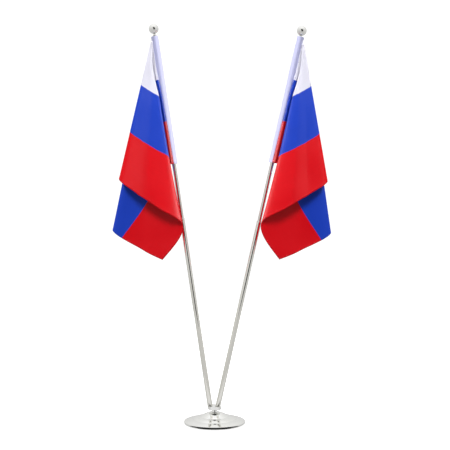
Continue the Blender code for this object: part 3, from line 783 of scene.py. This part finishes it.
def build_header(flag, finish):
    """The sleeve: cloth drawn round the tube, to a flat edge on either side."""
    side = flag.pole.side
    radius = flag.header_depth - 0.0002
    bm = bmesh.new()
    layer = bm.loops.layers.uv.new("cut")
    loops = []
    for index in range(SLEEVE_RINGS + 1):
        share = index / SLEEVE_RINGS              # 0 at the top, 1 at the foot
        along = flag.header_top + (flag.header_bottom - flag.header_top) * share
        reach_in = SLEEVE_IN[0] + (SLEEVE_IN[1] - SLEEVE_IN[0]) * share
        reach_out = SLEEVE_OUT[0] + (SLEEVE_OUT[1] - SLEEVE_OUT[0]) * share
        for inner in (0.0, SLEEVE_WALL):
            outline = header_section(
                reach_in - inner, reach_out - inner, radius - inner, SLEEVE_EDGE - inner / 2)
            loop = []
            for x, y in outline:
                pucker = noise.noise(Vector((x * 500, y * 500, along * 45 + flag.pole.front * 9)))
                sway = 0.0002 * noise.noise(Vector((0.3, 0.7, along * 30)))
                grow = 1 + (0.03 if hypot(x, y) > radius * 1.02 else 0.008) * pucker
                loop.append(bm.verts.new(flag.placed((x * grow + sway, y * grow, along))))
            loops.append(loop)
    outer, inner = loops[0::2], loops[1::2]
    count = len(outer[0])

    def quad(corners, uvs):
        for loop, uv in zip(bm.faces.new(corners).loops, uvs):
            loop[layer].uv = uv

    for wall in (outer, inner):
        for index in range(SLEEVE_RINGS):
            high, low = 1 - index / SLEEVE_RINGS, 1 - (index + 1) / SLEEVE_RINGS
            upper, lower = wall[index], wall[index + 1]
            for spot in range(count):
                after = (spot + 1) % count
                left, right = spot / count, (spot + 1) / count
                quad((upper[spot], upper[after], lower[after], lower[spot]),
                     ((left, high), (right, high), (right, low), (left, low)))
    for index in (0, SLEEVE_RINGS):
        for spot in range(count):
            after = (spot + 1) % count
            quad((outer[index][spot], outer[index][after], inner[index][after], inner[index][spot]),
                 ((spot / count, 1 - index / SLEEVE_RINGS),) * 4)
    mesh = smooth_mesh(bm, f"{side}_sleeve", radians(70))
    return add_piece(f"{side}_sleeve", mesh, finish, f"{side}_flag",
                     [f"{side}_flag_header"])


# ---- Stitches ----------------------------------------------------------------------------

STITCH_SIZES = {"Pitch": 0.0028, "Stitch Length": 0.0021, "Thread Radius": 0.00016}


def stitch_tree(name, finish):
    """Lays thread stitches end to end along an edge path."""
    tree = bpy.data.node_groups.new(name, "GeometryNodeTree")
    face = tree.interface
    face.new_socket("Geometry", in_out="INPUT", socket_type="NodeSocketGeometry")
    for label in STITCH_SIZES:
        face.new_socket(label, in_out="INPUT", socket_type="NodeSocketFloat")
    face.new_socket("Geometry", in_out="OUTPUT", socket_type="NodeSocketGeometry")
    new = partial(add_node, tree)
    given = new("NodeGroupInput")
    result = new("NodeGroupOutput")
    path = new("GeometryNodeMeshToCurve")
    spaced = new("GeometryNodeResampleCurve", mode="LENGTH")
    ball = new("GeometryNodeMeshUVSphere", {"Segments": 8, "Rings": 6})
    halved = new("ShaderNodeMath", operation="DIVIDE")
    doubled = new("ShaderNodeMath", {1: 2.0}, operation="MULTIPLY")
    stretch = new("ShaderNodeCombineXYZ", {"X": 1.0, "Y": 1.0})
    shaped = new("GeometryNodeTransform")
    tangent = new("GeometryNodeInputTangent")
    aim = new("FunctionNodeAlignRotationToVector", axis="Z")
    sewn_on = new("GeometryNodeInstanceOnPoints")
    real = new("GeometryNodeRealizeInstances")
    smooth = new("GeometryNodeSetShadeSmooth")
    painted = new("GeometryNodeSetMaterial", {"Material": finish})
    add_links(tree, (
        (given, "Geometry", path, "Mesh"),
        (path, "Curve", spaced, "Curve"),
        (given, "Pitch", spaced, "Length"),
        (given, "Thread Radius", ball, "Radius"),
        (given, "Thread Radius", doubled, 0),
        (given, "Stitch Length", halved, 0),
        (doubled, 0, halved, 1),
        (halved, 0, stretch, "Z"),
        (ball, "Mesh", shaped, "Geometry"),
        (stretch, 0, shaped, "Scale"),
        (spaced, "Curve", sewn_on, "Points"),
        (shaped, "Geometry", sewn_on, "Instance"),
        (tangent, 0, aim, "Vector"),
        (aim, 0, sewn_on, "Rotation"),
        (sewn_on, "Instances", real, "Geometry"),
        (real, "Geometry", smooth, "Geometry"),
        (smooth, "Geometry", painted, "Geometry"),
        (painted, "Geometry", result, "Geometry"),
    ))
    return tree


def sewn(name, paths, finish, body):
    """Rows of stitches along paths, each a list of points, as one plain mesh."""
    mesh = bpy.data.meshes.new(f"{name}_path")
    bm = bmesh.new()
    for path in paths:
        corners = [bm.verts.new(point) for point in path]
        for first, second in zip(corners, corners[1:]):
            bm.edges.new((first, second))
    bm.to_mesh(mesh)
    bm.free()
    guide = add_object(f"{name}_guide", mesh)
    tree = stitch_tree(f"{name}_stitches", finish)
    sewing = guide.modifiers.new("stitches", "NODES")
    sewing.node_group = tree
    for item in tree.interface.items_tree:
        if item.name in STITCH_SIZES:
            sewing[item.identifier] = STITCH_SIZES[item.name]
    seen = guide.evaluated_get(bpy.context.evaluated_depsgraph_get())
    made = bpy.data.meshes.new_from_object(seen)
    bpy.data.objects.remove(guide)
    made.name = name
    return add_piece(name, made, finish, body)


def build_flag(pole, finish):
    """One flag in its sleeve with its stitches; returns the two groups that lights reach."""
    flag = Flag(pole)
    cloth = build_cloth(flag, finish["flag"])
    header = build_header(flag, finish["sleeve"])

    def line(start, end, count=160, lift=0.45):
        """A path over the hung cloth between two places of the flat one, (fly, drop)."""
        path = []
        for index in range(count + 1):
            share = index / count
            point = flag.hung(*(a + (b - a) * share for a, b in zip(start, end)))
            point.y += CLOTH_THICKNESS * lift
            path.append(flag.placed(point))
        return path

    third = FLAG_HOIST / 3
    near = SEAM_INSET
    far = FLAG_FLY - SEAM_INSET
    low = FLAG_HOIST - SEAM_INSET
    side = pole.side
    rows = {
        "white": [line((0.015, near), (far, near)), line((far, near), (far, third))],
        "blue": [line((far, third), (far, 2 * third))],
        "red": [line((far, 2 * third), (far, low)), line((0.004, low), (far, low))],
    }
    stitches = [
        sewn(f"{side}_hem_stitches_{colour}", paths, finish[f"{colour}_thread"],
             f"{side}_flag")
        for colour, paths in rows.items()
    ]
    seam = [line((0.0016, 0.004), (0.0016, FLAG_HOIST - 0.0005), 120, 0.6)]
    stitches.append(
        sewn(f"{side}_seam_stitches", seam, finish["white_thread"], f"{side}_flag"))
    return (collect(f"{side}_sleeve_in_light", [header]),
            collect(f"{side}_cloth_in_light", [cloth] + stitches))


# ---- Pieces kept from the frame ----------------------------------------------------------


def finish_kept_nodes(finish):
    kept = {"base_weight": "iron", "base_pad": "foam", "base_nut": "steel", "base_washer": "steel"}
    for side in ("left", "right"):
        kept.update({f"{side}_hub_stud": "steel", f"{side}_end_plug": "steel",
                     f"{side}_friction_bush": "brass", f"{side}_tip_plug": "steel"})
    for name, key in kept.items():
        node = frame["nodes"][name]
        node.data.materials.clear()
        node.data.materials.append(finish[key])


# ---- Floor, cards and light --------------------------------------------------------------

CARD_PLACE = -1.2               # where the upright cards stand, in front of the stand
CARD_LIFT = -0.0001             # of the cards that lie on the desk, over the floor
FLOOR_LIFT = -0.0003
DARK = 0.05                     # shade of the cards that stand for what isn't lit


def add_stage(name, mesh, finish):
    piece = add_object(name, mesh)
    mesh.materials.append(finish)
    return piece


def make_floor():
    """A plain pale floor, bright enough to run into the white behind it."""
    bm = bmesh.new()
    bmesh.ops.create_circle(bm, cap_ends=True, segments=96, radius=6.0)
    mesh = bpy.data.meshes.new("floor")
    bm.to_mesh(mesh)
    bm.free()
    finish = Finish("pale_floor", (0.93, 0.93, 0.93), 0.7, Emission_Color=(1, 1, 1, 1),
                    Emission_Strength=0.75)
    floor = add_stage("floor", mesh, finish.material)
    floor.location = (0.0, 0.0, FLOOR_LIFT)
    floor.visible_glossy = False
    floor.visible_diffuse = False


def add_cards(name, outlines, shade, glow=0.0):
    """Cards that show only in the polished metal, as one mesh."""
    points = [point for outline in outlines for point in outline]
    faces = []
    for outline in outlines:
        first = faces[-1][-1] + 1 if faces else 0
        faces.append(range(first, first + len(outline)))
    mesh = bpy.data.meshes.new(name)
    mesh.from_pydata(points, [], faces)
    finish = Finish(f"{name}_paint", (shade, shade, shade), 1.0, Specular_IOR_Level=0.0,
                    Emission_Color=(glow, glow, glow, 1.0), Emission_Strength=1.0)
    piece = add_stage(name, mesh, finish.material)
    for ray in ("camera", "diffuse", "shadow", "transmission"):
        setattr(piece, f"visible_{ray}", False)


def upright(left, right, low, high):
    """A card that stands beside the camera, facing the stand."""
    return [(left, CARD_PLACE, low), (right, CARD_PLACE, low), (right, CARD_PLACE, high),
            (left, CARD_PLACE, high)]


def laid_band(directions, inner, outer):
    """Cards on the desk that fill a band between two radii round the base."""
    band = []
    for first, second in zip(directions, directions[1:]):
        corners = ((inner, first), (inner, second), (outer, second), (outer, first))
        band.append([(reach * x, reach * y, CARD_LIFT) for reach, (x, y) in corners])
    return band


def make_cards():
    """What the polished metal shows besides the white tent: its opening and its hood; dark cards
    round the base, painted shade for the shade on the desk next to it; and a glowing card, painted
    light for the lit desk further out.
    """
    add_cards("tent_opening", [upright(-0.15, 0.75, 0.05, 1.10)], DARK)
    add_cards("tent_hood", [upright(-0.4, 0.4, 0.74, 1.25)], DARK)
    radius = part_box("base_shell")[1].x
    steps = 32
    angles = [pi * (index / steps - 1) for index in range(steps + 1)]
    front = [(cos(angle), sin(angle)) for angle in angles]
    add_cards("desk_shade", laid_band(front[10:-10], 1.01 * radius, 1.5 * radius), DARK)
    # A glowing band further out, seen only in the metal: painted light, for the lit desk in the
    # reflections.
    add_cards("desk_glow", laid_band(front[4:-4], 1.5 * radius, 4 * radius), 0.0, 0.82)
    # A low dark wall round the front of the base, seen only in the metal: painted shade, for the
    # shade on the desk beside the rim.
    lip = [(1.08 * radius * x, 1.08 * radius * y) for x, y in front[6:-6]]
    tall = [0.010 * sin(pi * (index + 0.5) / len(lip)) for index in range(len(lip))]
    edge = []
    for index, (first, second) in enumerate(zip(lip, lip[1:])):
        edge.append([(*first, 0.0), (*second, 0.0),
                     (*second, tall[index + 1]), (*first, tall[index])])
    add_cards("desk_shade_wall", edge, DARK)


def area_light(name, place, target, size, power, lit=None):
    """A soft round light; where lit is a collection, it reaches only what is in it."""
    data = bpy.data.lights.new(name, "AREA")
    data.shape = "DISK"
    data.size = size
    data.energy = power
    light = add_object(name, data)
    light.location = place
    light.rotation_euler = (Vector(target) - Vector(place)).to_track_quat("-Z", "Y").to_euler()
    if lit is not None:
        light.light_linking.receiver_collection = lit
    else:
        light.visible_glossy = False
    return light


def make_world():
    """White all round for the camera, and a soft tent of light for everything else."""
    world = bpy.data.worlds.new("white_tent")
    bpy.context.scene.world = world
    world.use_nodes = True
    tree = world.node_tree
    tree.nodes.clear()
    new = partial(add_node, tree)
    place = new("ShaderNodeTexCoord")
    split = new("ShaderNodeSeparateXYZ")
    shade = new("ShaderNodeMapRange", {"From Min": -1.0})
    ramp = new("ShaderNodeValToRGB")
    fill_ramp(ramp, [(height, (level, level, level * warmth)) for height, level, warmth in (
        (0.0, 0.58, 1.0), (0.44, 0.66, 0.985), (0.50, 0.70, 0.985),
        (0.60, 0.76, 0.985), (0.83, 0.90, 0.985), (1.0, 1.15, 1.0))])
    tent = new("ShaderNodeBackground", {"Strength": 1.0})
    fill = new("ShaderNodeBackground", {"Color": (0.97, 0.98, 1.0, 1.0), "Strength": 0.33})
    white = new("ShaderNodeBackground", {"Color": (1, 1, 1, 1), "Strength": 1.1})
    ray = new("ShaderNodeLightPath")
    soft = new("ShaderNodeMixShader")
    seen = new("ShaderNodeMixShader")
    output = new("ShaderNodeOutputWorld")
    add_links(tree, (
        (place, "Generated", split, "Vector"),
        (split, "Z", shade, "Value"),
        (shade, "Result", ramp, "Fac"),
        (ramp, "Color", tent, "Color"),
        (ray, "Is Diffuse Ray", soft, "Fac"),
        (tent, 0, soft, 1),
        (fill, 0, soft, 2),
        (ray, "Is Camera Ray", seen, "Fac"),
        (soft, 0, seen, 1),
        (white, 0, seen, 2),
        (seen, 0, output, "Surface"),
    ))


def make_light(flags):
    """Softboxes on the outer and the inner side of each flag, and two for its sleeve.

    Two more only gleam on the satin, and two others light all from the front and the back.
    """
    for side, (sleeve, cloth) in flags.items():
        out = -1 if side == "left" else 1
        target = (0.09 * out, 0.0, 0.42)
        outer = (0.80 * out, -1.05, 1.65)
        inner = (-1.25 * out, -0.45, 0.75)
        edge = (-1.30 * out, -0.30, 0.70)
        area_light(f"{side}_softbox", outer, target, 0.50, 24.0, lit=cloth)
        area_light(f"{side}_edge_softbox", edge, target, 0.40, 13.0, lit=cloth)
        area_light(f"{side}_sleeve_softbox", inner, target, 0.55, 11.0, lit=sleeve)
        area_light(f"{side}_sleeve_front", (-0.2 * out, -1.4, 0.8), target, 0.5, 7.0, lit=sleeve)
        for name, across, power in (("inner", -1.15, 42.0), ("outer", 1.24, 3.0)):
            gleam = area_light(f"{side}_{name}_gleam", (across * out, -0.96, 0.80), target, 0.5,
                               power, lit=cloth)
            gleam.visible_diffuse = False
    area_light("front_softbox", (0.0, -1.5, 1.2), (0.0, 0.0, 0.35), 0.8, 1.5)
    area_light("back_softbox", (0.0, 1.5, 1.2), (0.0, 0.0, 0.35), 0.8, 16.0)


def collect(name, pieces):
    """A collection of the pieces that a light reaches."""
    group = bpy.data.collections.new(name)
    for piece in pieces:
        group.objects.link(piece)
    return group


# ---- The whole stand ---------------------------------------------------------------------


def main():
    make_camera()
    bpy.context.scene.view_settings.view_transform = "Standard"
    poles = (Pole("left"), Pole("right"))
    finish = {
        "base": turned_chrome("base_chrome", (0.90, 0.90, 0.885), 0.045),
        "hub": turned_chrome("hub_chrome", (0.94, 0.94, 0.93), 0.06),
        "iron": plain_metal("cast_iron", (0.10, 0.10, 0.105), 0.65, 900.0, 0.0002),
        "steel": plain_metal("zinc_steel", (0.55, 0.55, 0.54), 0.32, 1500.0, 0.00003),
        "brass": plain_metal("spring_brass", (0.72, 0.55, 0.26), 0.3, 1500.0, 0.00003),
        "foam": foam_finish(),
        "flag": flag_finish((FLAG_FLY, FLAG_HOIST)),
        "sleeve": sleeve_finish((SLEEVE_PATTERN_WIDTH, FLAG_HOIST)),
        "white_thread": thread_finish("white_thread", (0.80, 0.80, 0.90)),
        "blue_thread": thread_finish("blue_thread", BLUE),
        "red_thread": thread_finish("red_thread", RED),
        "finial": {},
    }
    for pole in poles:
        side = pole.side
        ball = pole.start + pole.up * (pole.span("finial_ball")[1] - pole.radius("finial_ball"))
        finish["finial"][side] = turned_chrome(
            f"{side}_finial_chrome", (0.90, 0.90, 0.885), centre=ball)
        finish[f"{side}_tube"] = drawn_tube_chrome(f"{side}_pole_chrome", (0.86, 0.85, 0.81), pole)
    build_base(finish)
    build_hub(finish, poles)
    flags = {}
    for pole in poles:
        build_tubes(finish, pole)
        build_finial(finish, pole)
        flags[pole.side] = build_flag(pole, finish)
    finish_kept_nodes(finish)
    make_floor()
    make_cards()
    make_world()
    make_light(flags)


main()
